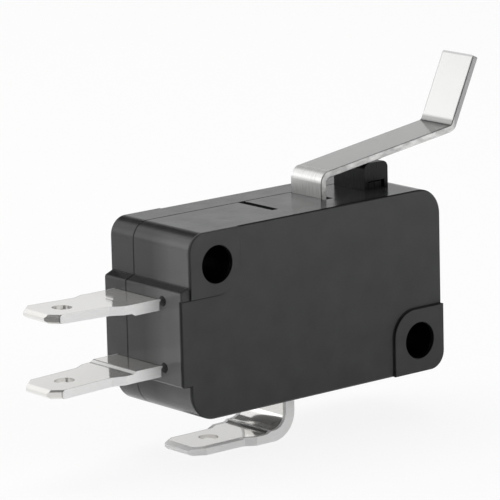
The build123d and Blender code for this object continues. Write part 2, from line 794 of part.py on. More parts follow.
os.makedirs("parts", exist_ok=True)
for piece in (case, cover, nc_terminal, no_terminal, common_terminal, nc_contact, no_contact, contact_arm,
              moving_contact, trip_lever, snap_spring, plunger, lever):
    export_step(piece.part, f"parts/{piece.part.label}.step")
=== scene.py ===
"""Looks of a small snap-action position switch.

Matte moulded housing, bright bent lever, plated tabs and a plain studio.
"""

import json
import math

import bpy
import numpy as np
from bpy.props import FloatProperty, FloatVectorProperty, PointerProperty
from bpy.types import NodeSocket, Operator, Panel, PropertyGroup
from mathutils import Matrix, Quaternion, Vector


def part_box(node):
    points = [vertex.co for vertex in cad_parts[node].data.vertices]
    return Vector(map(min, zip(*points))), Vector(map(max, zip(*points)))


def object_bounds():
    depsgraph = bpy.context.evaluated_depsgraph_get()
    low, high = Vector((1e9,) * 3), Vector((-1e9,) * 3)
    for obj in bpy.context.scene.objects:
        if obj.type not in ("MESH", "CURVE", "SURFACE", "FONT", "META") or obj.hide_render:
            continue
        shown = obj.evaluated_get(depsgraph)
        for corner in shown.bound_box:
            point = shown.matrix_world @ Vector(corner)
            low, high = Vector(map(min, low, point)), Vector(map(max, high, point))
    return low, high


bl_info = {
    "name": "Position switch looks",
    "version": (1, 0, 0),
    "blender": (4, 5, 0),
    "location": "View3D > Sidebar > Position switch",
    "description": "Finishes, stage, lamps and camera of a position switch with a bent lever",
    "category": "Object",
}

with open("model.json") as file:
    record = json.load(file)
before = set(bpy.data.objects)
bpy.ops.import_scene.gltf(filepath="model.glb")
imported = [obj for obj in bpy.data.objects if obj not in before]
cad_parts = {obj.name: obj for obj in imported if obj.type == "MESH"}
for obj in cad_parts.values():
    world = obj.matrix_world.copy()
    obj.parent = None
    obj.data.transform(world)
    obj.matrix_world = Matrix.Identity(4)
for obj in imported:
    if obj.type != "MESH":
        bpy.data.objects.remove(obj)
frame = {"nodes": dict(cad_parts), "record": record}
box_low, box_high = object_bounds()
case_low, case_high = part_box("case")
tab_low, tab_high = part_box("nc_terminal")
common_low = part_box("common_terminal")[0]
lever_low, lever_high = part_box("lever")
mounts = {mount["name"]: mount for mount in frame["record"]["mounts"]}
lower_hole = Vector(mounts["lower_hole"]["pos_m"])
upper_hole = Vector(mounts["upper_hole"]["pos_m"])

MM = 0.001
HAIR = 0.01 * MM                 # smallest distance that a pattern tells apart

# Housing, as the CAD part has it
HOLE_RADIUS = mounts["lower_hole"]["dims"]["r_mm"] * MM
PAD_HEIGHT = 0.25 * MM           # from the front face to the pads
PAD_CORNER = 2.3 * MM            # rounding of a pad's inner corner
UPPER_PAD = {"hole": upper_hole, "side": 1.0, "reach": 2.45 * MM, "drop": 2.62 * MM}
LOWER_PAD = {"hole": lower_hole, "side": -1.0, "reach": 2.8 * MM, "drop": 2.8 * MM}
LEDGE_LOW = 8.37 * MM            # height of the front corner of the ledge over the end block
LEDGE_RISE = 0.4 * MM
LEDGE_END = 1.9 * MM             # from the end block's outer face to past the ledge
END_FACE = 1.0 * MM              # from the end block's outer face to just past the end face

# Where the housing's finishes meet
EDGE_LINE = 0.32 * MM            # width of the painted shade line behind the front edges
MATTE_FRONT = 0.32 * MM          # depth of the matte front, from the pads
MATTE_BACK = 0.12 * MM           # depth of the matte back
MATTE_FADE = 0.08 * MM           # how far matte and smooth run into each other
TOP_FADE = 0.5 * MM              # how far below the top its painted shade begins
TOP_FULL = 0.1 * MM              # how far below the top it is painted darker in full
PAINTED_SHEEN_FULL = 2.6 * MM           # how far from the front the end face has its painted sheen in full
PAINTED_SHEEN_FADE = 5.2 * MM           # how far from the front the painted sheen has faded
END_FADE = 0.6 * MM              # how far the painted sheen fades along the sides
HEIGHT_SHARE = 0.7               # share of height in the front's tone, painted light that makes the front paler towards the top, with clouds as the rest

# Lever, as the CAD part has it
LEG_END = -6.6 * MM              # where the bend has become the arm
TIP_START = 7.3 * MM             # where the arm bends up into the raised tip
FOLD_SLANT = 0.57                # widening of the painted shade strip beside the fold
FOLD_FADE = 0.3 * MM             # length over which the finish changes at the fold
LEG_FADE = 0.4 * MM              # length over which the finish changes at the leg
LEG_RISE = 2.6 * MM              # height over which the painted highlight makes the leg paler, from the housing up
LEG_STREAKS = 0.8                # strength of the brushed streaks on the leg

# Tabs, as the CAD part has them. The common tab is the one under the body
BLADE_HALF = 2.4 * MM
END_SHOULDER = 5.94 * MM         # from an end tab's tip to the start of its shoulders
COMMON_SHOULDER = 5.5 * MM
END_SLOPE = 1.08 * MM            # length of an end tab's shoulders
COMMON_SLOPE = 0.85 * MM
CORNER_LENGTH = 1.3 * MM         # cut corners of the common tab
CORNER_WIDTH = 0.8 * MM
CORNER_CUT = 1.2                 # where a corner's slanted edge ends, as a multiple of the cut
CORNER_FADE = 1.26               # where its sheared look has faded
CORNER_LINE = 1.36               # where the painted shade line inside it ends
STEP = 7.85 * MM                 # from a tab's tip to its step
STEP_LENGTH = 0.3 * MM           # length of the slope of a step
STEP_LINE = 0.2 * MM             # width of the painted shade line before the step
STEPPED_DROP = 1.0 * MM          # the tabs with a step lie at least this far below the upper one
BEVEL = 0.34 * MM                # slanted lead-in across a tab's tip
ROLL_OVER = 0.28 * MM            # width of the common tab's rolled-over edges
UNDER_FADE = 0.5 * MM            # how far under the body the common tab's sizes hold in full
SHEARED_FADE = 8 * HAIR          # where the sheared look begins, inside the edge
SHEARED_FULL = 3 * HAIR          # where it is full
SHEARED_LINE = 14 * HAIR         # how far inside the edge the painted shade line reaches

# Reflections of the stage, in metres
TABLE_FADE = 0.03                # length over which the pale table ends
CARD_FADE = 0.6                  # share of the card's height at which it begins to end
DIM_START = 0.02                 # heights over the floor between which the card dims to its level
DIM_END = 0.1

# Near-black colour painted as shade in the bores, in lines at edges and steps and beside the lever's fold
PAINTED_SHADE_BLACK = (0.002, 0.002, 0.002, 1.0)
SMOOTH = "SMOOTHSTEP"
FIRST_COLOUR = 6                 # sockets of the Mix node where it mixes colours
SECOND_COLOUR = 7
MIXED_COLOUR = 2


def colour_property(name, description, default):
    """Property for a colour, written as it should look under plain light."""
    return FloatVectorProperty(
        name=name, description=description, default=default, size=3, min=0.0, max=1.0, subtype="COLOR")


def length_property(name, description, default):
    """Property for a length in metres."""
    return FloatProperty(name=name, description=description, default=default, unit="LENGTH", precision=6)


def share_property(name, description, default):
    """Property for a share between nought and one."""
    return FloatProperty(
        name=name, description=description, default=default, min=0.0, max=1.0, subtype="FACTOR")


def power_property(name, description, default):
    """Property for the power of a lamp, in watts."""
    return FloatProperty(name=name, description=description, default=default, unit="POWER")


class HousingLook(PropertyGroup):
    """Finish of the two moulded halves of the housing."""
    colour: colour_property("Housing colour", "Black moulded thermoset", (0.036, 0.036, 0.037))
    # Painted light: the smooth ends and underside get a paler colour than the front for the light they catch
    painted_light_edge_colour: colour_property("Edge colour", "The smooth ends and underside", (0.06, 0.06, 0.061))
    # Painted shade: the top and the ledge get a darker colour for the shade and dark reflections on them
    painted_top_shade_colour: colour_property("Top colour", "The polished top and ledge", (0.02, 0.02, 0.021))
    # Painted sheen: a paler colour on the end face near the front stands in for a reflection
    painted_sheen_colour: colour_property("Sheen colour", "The end face where it is rubbed", (0.125, 0.125, 0.126))
    front_roughness: share_property("Front roughness", "Roughness of the fine matte front and back", 0.55)
    edge_roughness: share_property("Edge roughness", "Roughness of the smooth top, ends and underside", 0.22)
    gloss: share_property("Gloss", "Strength of the reflection of the moulded faces", 0.25)
    cloud_size: length_property("Cloud size", "Size of the paler clouds in the plastic", 2.2 * MM)
    grain_size: length_property("Grain size", "Size of one grain of the matte front", 0.14 * MM)
    grain_depth: length_property("Grain depth", "Depth of the grain of the matte front", 0.005 * MM)
    wave_size: length_property("Wave size", "Size of the soft waves left by moulding", 1.1 * MM)
    wave_depth: length_property("Wave depth", "Depth of the soft waves left by moulding", 0.006 * MM)
    line_width: length_property("Line width", "Width of the shaded line at the foot of the pads", 0.14 * MM)
    # Painted shade: dark lines painted at the front edges and round the pads
    painted_line_shade: share_property("Line shade", "Darkness of the lines at the front edges and the pads", 0.85)


class PlungerLook(PropertyGroup):
    """Finish of the moulded plunger."""
    colour: colour_property("Plunger colour", "Black moulded plastic", (0.01, 0.01, 0.011))
    roughness: share_property("Plunger roughness", "Roughness of the moulded plunger", 0.3)
    gloss: share_property("Plunger gloss", "Strength of the reflection of the plunger", 0.25)
    drag_width: length_property("Drag line width", "Width of one upright drag line", 0.22 * MM)
    drag_depth: length_property("Drag line depth", "Depth of one upright drag line", 0.002 * MM)


class LeverLook(PropertyGroup):
    """Finish of the bent sheet-metal lever."""
    colour: colour_property("Lever colour", "Cold-rolled stainless strip", (0.66, 0.66, 0.65))
    roughness: share_property("Lever roughness", "Roughness along the rolled strip", 0.16)
    dullness: share_property("Lever dullness", "Share of the light that the skin of the strip scatters", 0.2)
    line_width: length_property("Rolling line width", "Width of one line left by the rollers", 0.05 * MM)
    line_depth: length_property("Rolling line depth", "Depth of one line left by the rollers", 0.0003 * MM)
    cloud_size: length_property("Cloud size", "Size of the duller clouds in the strip", 1.3 * MM)
    leg_roughness: share_property("Leg roughness", "Roughness of the brushed leg", 0.34)
    # Painted shade: the grey rim round the raised tip stands in for the shade on its rounded edges
    painted_rim_colour: colour_property("Rim colour", "Duller rim round the raised tip", (0.46, 0.46, 0.46))
    rim_width: length_property("Rim width", "Width of the rim round the raised tip", 0.2 * MM)
    sheared_colour: colour_property("Sheared colour", "Sheared long edges", (0.78, 0.78, 0.77))
    mottle_size: length_property("Mottle size", "Size of the patches on the sheared long edges", 0.5 * MM)
    # Painted shade: the darkened strip beside the fold stands in for the raised tip's shadow and reflection
    painted_fold_shade: share_property("Fold shade", "How much darker the arm is beside the fold of the tip", 0.5)


class TerminalLook(PropertyGroup):
    """Finish of the plated tabs."""
    colour: colour_property("Plating colour", "Bright tin plating", (0.82, 0.81, 0.79))
    roughness: share_property("Plating roughness", "Roughness of the plating", 0.09)
    dullness: share_property("Plating dullness", "Share of the light that the plating scatters", 0.25)
    sheared: share_property("Sheared roughness", "Roughness of the sheared long edges", 0.42)
    sheared_colour: colour_property("Sheared colour", "Sheared long edges", (0.97, 0.965, 0.955))
    # Painted shade: dark lines painted inside the sheared edges, the cut corners, the tip bevel and before
    # the steps
    painted_line_shade: share_property("Line shade", "Darkness of the thin line inside the sheared edges", 0.45)
    cloud_size: length_property("Cloud size", "Size of the duller clouds in the plating", 1.6 * MM)
    cloud_depth: length_property("Cloud depth", "Depth of the soft waves in the plating", 0.002 * MM)
    mark_width: length_property("Mark width", "Width of one fine mark along the strip", 0.08 * MM)
    mark_depth: length_property("Mark depth", "Depth of one fine mark along the strip", 0.0002 * MM)


class InnerLook(PropertyGroup):
    """Finish of the mechanism inside the housing."""
    silver: colour_property("Contact colour", "Silver alloy rivets", (0.86, 0.85, 0.83))
    brass: colour_property("Arm colour", "Punched brass strip", (0.7, 0.5, 0.25))
    steel: colour_property("Spring colour", "Drawn wire and punched steel", (0.55, 0.55, 0.54))
    cloud_size: length_property("Cloud size", "Size of the duller clouds in the metal", 0.6 * MM)
    grain_size: length_property("Grain size", "Size of one grain of the metal", 0.09 * MM)
    grain_depth: length_property("Grain depth", "Depth of the grain of the metal", 0.001 * MM)


class StageLook(PropertyGroup):
    """Floor, lamps and camera."""
    floor_colour: colour_property("Floor colour", "Plain pale floor", (0.94, 0.94, 0.94))
    shadow_share: share_property("Shadow share", "How much of the shadow the floor keeps", 0.14)
    room_light: share_property("Room light", "Even light from all round", 0.5)
    room_gloss: share_property("Room gloss", "How bright the dim part of the room is in reflections", 0.12)
    table_front: length_property("Table front", "Where the pale table ends in reflections", -0.075)
    card_level: share_property("Card level", "How bright the white behind is in reflections", 0.85)
    card_top: length_property("Card top", "Height at which the white behind ends in reflections", 0.48)
    top_lamp: power_property("Top lamp", "Power of the lamp above", 0.7)
    left_lamp: power_property("Left lamp", "Power of the soft card at the left", 0.8)
    right_lamp: power_property("Right lamp", "Power of the lamp at the right", 0.46)
    camera_place: FloatVectorProperty(
        name="Camera place", description="Where the camera stands",
        default=(-0.23001, -0.26206, 0.08456), size=3, subtype="XYZ", unit="LENGTH")
    camera_aim: FloatVectorProperty(
        name="Camera aim", description="Direction in which the camera looks",
        default=(0.62047, 0.75386, -0.21614), size=3, subtype="DIRECTION")
    camera_roll: FloatProperty(
        name="Camera roll", description="Turn of the camera about its own axis",
        default=math.radians(-1.398), subtype="ANGLE")
    camera_lens: FloatProperty(
        name="Camera lens", description="Focal length in millimetres",
        default=296.87, subtype="DISTANCE_CAMERA")


def shade(colour, times):
    """The colour made darker or lighter by the number given, with a full fourth channel."""
    return [*(min(1.0, part * times) for part in colour), 1.0]


class Nodes:
    """Node tree of a material or of the world, filled from empty."""

    def __init__(self, tree):
        self.tree = tree
        tree.nodes.clear()

    def node(self, kind, **settings):
        """New node with the settings given."""
        made = self.tree.nodes.new(kind)
        for key, value in settings.items():
            setattr(made, key, value)
        return made

    def feed(self, socket, value):
        """Gives a socket a linked value or a plain one."""
        if isinstance(value, NodeSocket):
            self.tree.links.new(value, socket)
        else:
            socket.default_value = value

    def place(self):
        """Object coordinates of the point, in metres."""
        return self.node("ShaderNodeTexCoord").outputs["Object"]

    def axis(self, name):
        """One coordinate of the point, in metres."""
        node = self.node("ShaderNodeSeparateXYZ")
        self.feed(node.inputs["Vector"], self.place())
        return node.outputs[name]

    def chain(self, operation, first, *others):
        """Values and numbers put together one after the other."""
        for other in others:
            node = self.node("ShaderNodeMath", operation=operation)
            self.feed(node.inputs[0], first)
            self.feed(node.inputs[1], other)
            first = node.outputs["Value"]
        return first

    def plus(self, *values):
        """Sum of the values."""
        return self.chain("ADD", *values)

    def minus(self, first, second):
        """First value less the second."""
        return self.chain("SUBTRACT", first, second)

    def times(self, *values):
        """Product of the values."""
        return self.chain("MULTIPLY", *values)

    def over(self, first, second):
        """First value divided by the second."""
        return self.chain("DIVIDE", first, second)

    def least(self, *values):
        """Smallest of the values."""
        return self.chain("MINIMUM", *values)

    def most(self, *values):
        """Greatest of the values."""
        return self.chain("MAXIMUM", *values)

    def length(self, across, up):
        """Length of the slant with the two sides given: the root of the sum of their squares."""
        return self.chain("POWER", self.plus(self.times(across, across), self.times(up, up)), 0.5)

    def ramp(self, value, start, end, low=0.0, high=1.0, kind="LINEAR"):
        """Value that goes from low at start to high at end and is held beyond both."""
        node = self.node("ShaderNodeMapRange", interpolation_type=kind)
        sockets = {"Value": value, "From Min": start, "From Max": end, "To Min": low, "To Max": high}
        for key, number in sockets.items():
            self.feed(node.inputs[key], number)
        return node.outputs["Result"]


class Finish(Nodes):
    """Material of one kind of piece: a shader fed from Object coordinates."""

    def __init__(self, name, roughness, metallic=0.0):
        self.material = bpy.data.materials.new(name)
        self.material.use_nodes = True
        super().__init__(self.material.node_tree)
        self.shader = self.node("ShaderNodeBsdfPrincipled")
        self.use(Roughness=roughness, Metallic=metallic)
        output = self.node("ShaderNodeOutputMaterial")
        self.feed(output.inputs["Surface"], self.shader.outputs["BSDF"])

    def use(self, **sockets):
        """Feeds the shader's sockets, named with underlines for spaces."""
        for key, value in sockets.items():
            self.feed(self.shader.inputs[key.replace("_", " ")], value)

    def dress(self, *names):
        """Puts the material in the slot of each CAD node named."""
        for name in names:
            frame["nodes"][name].data.materials[0] = self.material

    def grain(self, size, stretch=(1.0, 1.0, 1.0), detail=2.0, rough=0.5):
        """Cloudy noise with lumps of about the size given, longer along an axis that is stretched."""
        mapping = self.node("ShaderNodeMapping")
        self.feed(mapping.inputs["Scale"], [1.0 / part for part in stretch])
        self.feed(mapping.inputs["Vector"], self.place())
        noise = self.node("ShaderNodeTexNoise")
        self.feed(noise.inputs["Scale"], 1.0 / size)
        self.feed(noise.inputs["Detail"], detail)
        self.feed(noise.inputs["Roughness"], rough)
        self.feed(noise.inputs["Vector"], mapping.outputs["Vector"])
        return noise.outputs[0]

    def spread(self, noise, low=0.0, high=1.0, reach=0.2):
        """Noise, most of which lies within the reach of one half, spread out from low to high."""
        return self.ramp(noise, 0.5 - reach, 0.5 + reach, low, high)

    def uneven(self, noise, value, less, more, reach=0.2):
        """The value, less or more by the amounts given where the noise is low or high."""
        return self.spread(noise, value - less, value + more, reach)

    def joined(self, first, second, share):
        """Two noises in one: the share of the first, and the rest from the second."""
        return self.plus(self.times(first, share), self.times(second, 1.0 - share))

    def away(self, hole):
        """Distance from a hole's axis, in metres."""
        return self.length(self.minus(self.axis("X"), hole.x), self.minus(self.axis("Z"), hole.z))

    def band(self, value, start, end):
        """One between two values and none outside them, with short ramps at both."""
        run = (end - start) / 4
        return self.times(self.ramp(value, start, start + run), self.ramp(value, end, end - run))

    def blend(self, share, first, second):
        """Colour that goes from the first to the second with the share."""
        node = self.node("ShaderNodeMix", data_type="RGBA")
        self.feed(node.inputs["Factor"], share)
        self.feed(node.inputs[FIRST_COLOUR], first)
        self.feed(node.inputs[SECOND_COLOUR], second)
        return node.outputs[MIXED_COLOUR]

    def tinted(self, share, colour, darker, paler):
        """Colour that goes from a darker tone of itself to a paler one with the share."""
        return self.blend(share, shade(colour, darker), shade(colour, paler))

    def relief(self, height, depth, below=None):
        """Small relief whose depth in metres is that of a height of one, laid over another where given."""
        node = self.node("ShaderNodeBump")
        self.feed(node.inputs["Distance"], depth)
        self.feed(node.inputs["Height"], height)
        if below is not None:
            self.feed(node.inputs["Normal"], below)
        return node.outputs["Normal"]


class MouldedPlastic(Finish):
    """Plastic of the housing, which knows where its finish changes."""

    def bores(self):
        """One inside both mounting holes, where shade is painted: the distance from each hole's axis against
        its radius.
        """
        nearest = self.least(self.away(lower_hole), self.away(upper_hole))
        return self.ramp(nearest, HOLE_RADIUS + 5 * HAIR, HOLE_RADIUS + HAIR)

    def beyond_pad(self, hole, side, reach, drop):
        """Distance outside one pad, which is a quarter of a rounded square.

        It is the distance from the centre of the rounded inner corner, less the corner's radius.
        """
        across = self.times(self.minus(self.axis("X"), hole.x), side)
        down = self.times(self.minus(hole.z, self.axis("Z")), side)
        past_side = self.most(self.minus(across, reach - PAD_CORNER), 0.0)
        past_foot = self.most(self.minus(down, drop - PAD_CORNER), 0.0)
        return self.minus(self.length(past_side, past_foot), PAD_CORNER)

    def outline(self, depth, look):
        """Painted shade line behind the front edges, at the pads' rims and at their foot.

        It goes by depth from the front and by distance from the nearer pad.
        """
        apart = self.least(self.beyond_pad(**UPPER_PAD), self.beyond_pad(**LOWER_PAD))
        front = case_low.y + PAD_HEIGHT
        off_pads = self.ramp(apart, HAIR, 4 * HAIR)
        edge = self.times(self.band(depth, front + 2 * HAIR, front + EDGE_LINE), off_pads)
        on_front = self.band(depth, front - 2 * HAIR, front + 2 * HAIR)
        foot = self.times(on_front, self.band(apart, 0.0, look.line_width))
        pad_rim = self.band(depth, case_low.y + HAIR, front - HAIR)
        return self.times(self.most(edge, foot, pad_rim), look.painted_line_shade)

    def shade_painted(self):
        """One on the flat top and on the ledge over the end block, by height, where a darker colour is
        painted as shade and dark reflections.
        """
        height = self.axis("Z")
        top = self.ramp(height, case_high.z - TOP_FADE, case_high.z - TOP_FULL)
        ledge = self.band(height, LEDGE_LOW - 10 * HAIR, LEDGE_LOW + LEDGE_RISE)
        at_end = self.ramp(self.axis("X"), case_low.x + LEDGE_END + 10 * HAIR, case_low.x + LEDGE_END)
        return self.most(top, self.times(ledge, at_end))

    def sheen_painted(self, depth):
        """One on the end face near the front, where a paler colour is painted as a sheen, fading towards the
        parting line.
        """
        near = self.ramp(depth, case_low.y + PAINTED_SHEEN_FADE, case_low.y + PAINTED_SHEEN_FULL)
        at_end = self.ramp(self.axis("X"), case_low.x + END_FACE + END_FADE, case_low.x + END_FACE)
        return self.times(near, at_end)


class FinishHousing(Operator):
    """Moulded housing: matte grained front and back, smoother all round, painted shade in the bores, along
    the edge lines and on the top and ledge, painted light on the ends, underside and upper front, and a
    painted sheen on the end faces
    """
    bl_idname = "switch.finish_housing"
    bl_label = "Finish housing"

    def execute(self, context):
        look = context.scene.switch_housing
        finish = MouldedPlastic("case_plastic", look.front_roughness)
        finish.use(Specular_IOR_Level=look.gloss)
        depth = finish.axis("Y")
        matte_front = case_low.y + MATTE_FRONT
        matte_back = box_high.y - MATTE_BACK
        behind_front = finish.ramp(depth, matte_front, matte_front + MATTE_FADE)
        before_back = finish.ramp(depth, matte_back, matte_back - MATTE_FADE)
        smooth = finish.times(behind_front, before_back)
        clouds = finish.grain(look.cloud_size, detail=3.0)
        matte = finish.uneven(clouds, look.front_roughness, less=0.03, more=0.03)
        smoother = finish.times(smooth, look.front_roughness - look.edge_roughness)
        finish.use(Roughness=finish.minus(matte, smoother))
        # Painted light: the matte front is painted paler towards the top
        raised = finish.ramp(finish.axis("Z"), case_low.z, case_high.z, low=0.0, high=HEIGHT_SHARE)
        tone = finish.plus(raised, finish.spread(clouds, low=0.0, high=1.0 - HEIGHT_SHARE))
        matte_colour = finish.tinted(tone, look.colour, darker=0.94, paler=1.85)
        # Painted light: the smooth ends and underside are painted paler than the front
        colour = finish.tinted(clouds, look.painted_light_edge_colour, darker=0.9, paler=1.12)
        # Painted sheen: the end face near the front is painted paler, as if it caught a reflection
        painted_sheen_tones = finish.tinted(clouds, look.painted_sheen_colour, darker=0.9, paler=1.1)
        # Painted shade: the top and the ledge are painted darker than the other smooth faces
        painted_top_shade = finish.tinted(clouds, look.painted_top_shade_colour, darker=0.9, paler=1.12)
        colour = finish.blend(finish.sheen_painted(depth), colour, painted_sheen_tones)
        colour = finish.blend(finish.shade_painted(), colour, painted_top_shade)
        # Smooth faces take the painted tones above; the matte front and back take the matte colour
        colour = finish.blend(smooth, matte_colour, colour)
        # Painted shade inside the bores and along the lines at the front edges and pads
        dark = finish.most(finish.bores(), finish.outline(depth, look))
        finish.use(Base_Color=finish.blend(dark, colour, PAINTED_SHADE_BLACK))
        fine = finish.grain(look.grain_size, detail=1.0)
        height = finish.times(fine, finish.minus(1.0, smooth))
        relief = finish.relief(height, look.grain_depth)
        waves = finish.grain(look.wave_size, detail=1.0)
        finish.use(Normal=finish.relief(waves, look.wave_depth, below=relief))
        finish.dress("case", "cover")
        return {"FINISHED"}


class FinishPlunger(Operator):
    """Moulded plunger: black and smooth, with faint upright drag lines"""
    bl_idname = "switch.finish_plunger"
    bl_label = "Finish plunger"

    def execute(self, context):
        look = context.scene.switch_plunger
        finish = Finish("plunger_plastic", look.roughness)
        finish.use(Specular_IOR_Level=look.gloss)
        drag = finish.grain(look.drag_width, stretch=(1.0, 1.0, 12.0))
        finish.use(Roughness=finish.uneven(drag, look.roughness, less=0.05, more=0.06))
        finish.use(Base_Color=finish.tinted(drag, look.colour, darker=0.9, paler=1.15))
        finish.use(Normal=finish.relief(drag, look.drag_depth))
        finish.dress("plunger")
        return {"FINISHED"}


class RolledStrip(Finish):
    """Strip of the lever, which knows where its finish changes."""

    def from_side(self):
        """Distance from the nearer long edge."""
        across = self.axis("Y")
        return self.least(self.minus(across, lever_low.y), self.minus(lever_high.y, across))

    def painted_rim_shade(self, width):
        """One at the rim of the raised tip, where a greyer colour is painted as the shade of its rounded
        edges: the nearest of the long edges and the end against the width.
        """
        nearest = self.least(self.from_side(), self.minus(lever_high.z, self.axis("Z")))
        raised = self.ramp(self.axis("X"), TIP_START, TIP_START + FOLD_FADE)
        return self.times(self.ramp(nearest, width, width - 6 * HAIR), raised)

    def fold(self):
        """One on the arm beside the fold of the tip, where the tip's shadow and reflection are painted as
        shade, on a strip that widens from the back to the front.
        """
        along = self.axis("X")
        from_back = self.minus(lever_high.y, self.axis("Y"))
        slanted = self.plus(along, self.times(from_back, FOLD_SLANT))
        started = self.ramp(slanted, TIP_START - FOLD_FADE, TIP_START - 10 * HAIR)
        return self.times(started, self.ramp(along, TIP_START + 10 * HAIR, TIP_START))


class FinishLever(Operator):
    """Bent lever: rolled stainless strip with fine lines along its length, painted shade beside the fold and
    at the tip's rim, and a painted highlight on the leg
    """
    bl_idname = "switch.finish_lever"
    bl_label = "Finish lever"

    def execute(self, context):
        look = context.scene.switch_lever
        finish = RolledStrip("lever_steel", look.roughness, metallic=1.0 - look.dullness)
        lines = finish.grain(look.line_width, stretch=(26.0, 1.0, 26.0))
        clouds = finish.grain(look.cloud_size, detail=3.0)
        mottle = finish.grain(look.mottle_size, stretch=(2.0, 1.0, 1.0), detail=3.0)
        both = finish.joined(lines, clouds, share=0.6)
        along = finish.axis("X")
        leg = finish.ramp(along, LEG_END, LEG_END - LEG_FADE)
        edge = finish.ramp(finish.from_side(), 5 * HAIR, 2 * HAIR)
        plain = finish.uneven(both, look.roughness, less=0.03, more=0.05, reach=0.15)
        rougher = finish.times(finish.most(leg, edge), look.leg_roughness - look.roughness)
        finish.use(Roughness=finish.plus(plain, rougher))
        strip = finish.tinted(both, look.colour, darker=0.96, paler=1.04)
        # Painted shade: the arm beside the fold is darkened for the raised tip's shadow and reflection
        strip = finish.blend(finish.times(finish.fold(), look.painted_fold_shade), strip, PAINTED_SHADE_BLACK)
        # Painted highlight: the brushed leg is painted paler towards the top, where it turns into the bend
        rise = finish.ramp(finish.axis("Z"), case_high.z, case_high.z + LEG_RISE, low=-0.25, high=0.4)
        streaks = finish.plus(finish.times(lines, LEG_STREAKS), rise)
        streaks = finish.ramp(streaks, start=0.2, end=0.9)
        brushed = finish.tinted(streaks, look.colour, darker=0.7, paler=1.5)
        strip = finish.blend(leg, strip, brushed)
        # Painted shade round the rim of the raised tip
        rim = finish.tinted(lines, look.painted_rim_colour, darker=0.9, paler=1.1)
        strip = finish.blend(finish.painted_rim_shade(look.rim_width), strip, rim)
        torn = finish.tinted(finish.spread(mottle, reach=0.15), look.sheared_colour, darker=0.75, paler=1.2)
        before_tip = finish.ramp(along, TIP_START + 20 * HAIR, TIP_START)
        finish.use(Base_Color=finish.blend(finish.times(edge, before_tip), strip, torn))
        finish.use(Metallic=finish.ramp(edge, 0.0, 1.0, low=1.0 - look.dullness, high=0.4))
        finish.use(Normal=finish.relief(lines, look.line_depth))
        finish.dress("lever")
        return {"FINISHED"}


class PlatedStrip(Finish):
    """Strip of the tabs, which knows where its finish changes. The common tab lies under the body."""

    def by_tab(self, end_value, common_value):
        """One value on the end tabs and another on the common tab, by height against the underside."""
        underside = case_low.z
        return self.ramp(self.axis("Z"), underside, underside - UNDER_FADE, end_value, common_value)

    def half_width(self, from_tip):
        """Half the width of the tab: the blade's up to the shoulders, then the root's."""
        root_half = (tab_high.y - tab_low.y) / 2
        past = self.minus(from_tip, self.by_tab(END_SHOULDER, COMMON_SHOULDER))
        part_way = self.over(past, self.by_tab(END_SLOPE, COMMON_SLOPE))
        return self.ramp(part_way, 0.0, 1.0, BLADE_HALF, root_half)

    def side_edges(self, outside):
        """Sheared look and painted shade line of the long edges, by how far outside them the point is."""
        sheared = self.ramp(outside, -SHEARED_FADE, -SHEARED_FULL)
        return sheared, self.band(outside, -SHEARED_LINE, -SHEARED_FULL)

    def cut_tip(self, from_tip, from_side):
        """Sheared look and painted shade line of the common tab's cut corners and bevelled tip.

        Both distances, as shares of the corner's sides, add up to one along the cut.
        """
        on_common = self.by_tab(0.0, 1.0)
        corner = self.plus(self.over(from_tip, CORNER_LENGTH), self.over(from_side, CORNER_WIDTH))
        cut = self.most(
            self.ramp(corner, CORNER_FADE, CORNER_CUT), self.ramp(from_tip, BEVEL + 2 * HAIR, BEVEL))
        line = self.most(
            self.band(corner, CORNER_CUT, CORNER_LINE), self.band(from_tip, BEVEL, BEVEL + SHEARED_LINE))
        return self.times(cut, on_common), self.times(line, on_common)

    def steps(self, from_tip):
        """Sheared look and painted shade line of the steps of the lower end tab and the common tab."""
        start = STEP - 4 * HAIR
        lowest = tab_low.z - STEPPED_DROP
        stepped = self.ramp(self.axis("Z"), lowest, lowest - 20 * HAIR)
        step = self.times(self.band(from_tip, start, STEP + STEP_LENGTH), stepped)
        return step, self.times(self.band(from_tip, start - STEP_LINE, start), stepped)

    def edges(self):
        """One at the sheared edges, and one in the painted shade line inside them."""
        middle = (tab_low.y + tab_high.y) / 2
        across = self.axis("Y")
        from_middle = self.most(self.minus(across, middle), self.minus(middle, across))
        from_tip = self.minus(self.axis("X"), self.by_tab(tab_low.x, common_low.x))
        from_side = self.minus(self.half_width(from_tip), from_middle)
        outside = self.minus(self.by_tab(0.0, ROLL_OVER), from_side)
        parts = (
            self.side_edges(outside),
            self.cut_tip(from_tip, from_side),
            self.steps(from_tip),
        )
        sheared, lines = zip(*parts)
        return self.most(*sheared), self.most(*lines)


